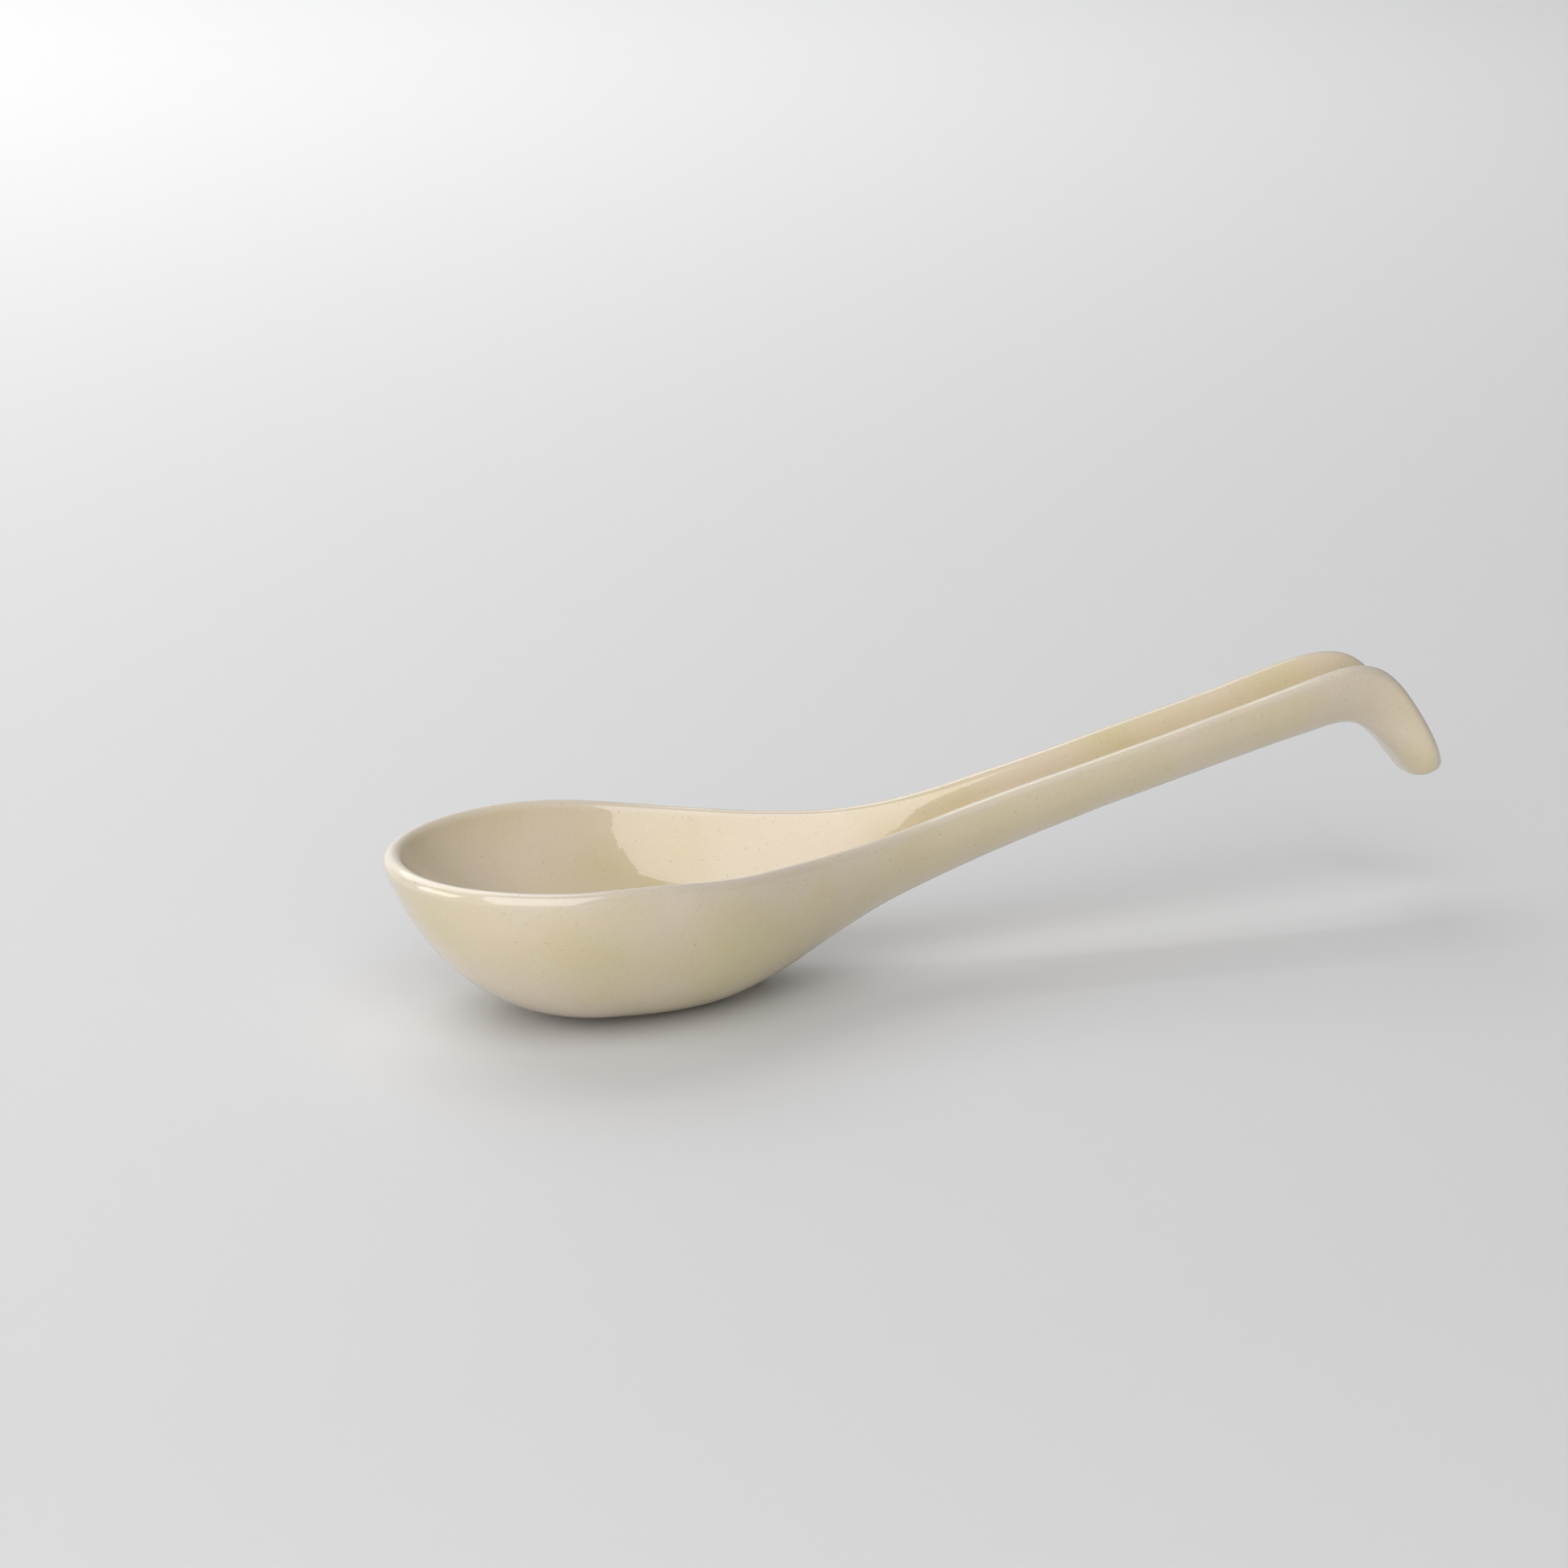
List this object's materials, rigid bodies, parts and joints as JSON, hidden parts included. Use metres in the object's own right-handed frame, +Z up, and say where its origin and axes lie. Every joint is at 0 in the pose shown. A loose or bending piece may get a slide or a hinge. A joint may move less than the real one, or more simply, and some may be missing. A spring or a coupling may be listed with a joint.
{
  "type": "ceramic soup spoon",
  "caption": "Glazed stoneware soup spoon with a deep oval bowl, a flat bare foot and a troughed handle that ends in a hook.",
  "frame": {"origin": "centre of the bare oval foot, on the surface that the spoon stands on", "axes": "+X along the handle towards the hook, +Z up out of the bowl, mirror plane at Y = 0"},
  "size_m": [0.1743, 0.0476, 0.0392],
  "materials": {
    "glaze": "semi-gloss cream glaze with fine speckles, paler and greyer where it thins over the rim",
    "clay": "unglazed buff stoneware, matt and slightly grainy"
  },
  "bodies": {
    "root": {"clay_body": "clay", "glaze_coat": "glaze"}
  },
  "joints": []
}
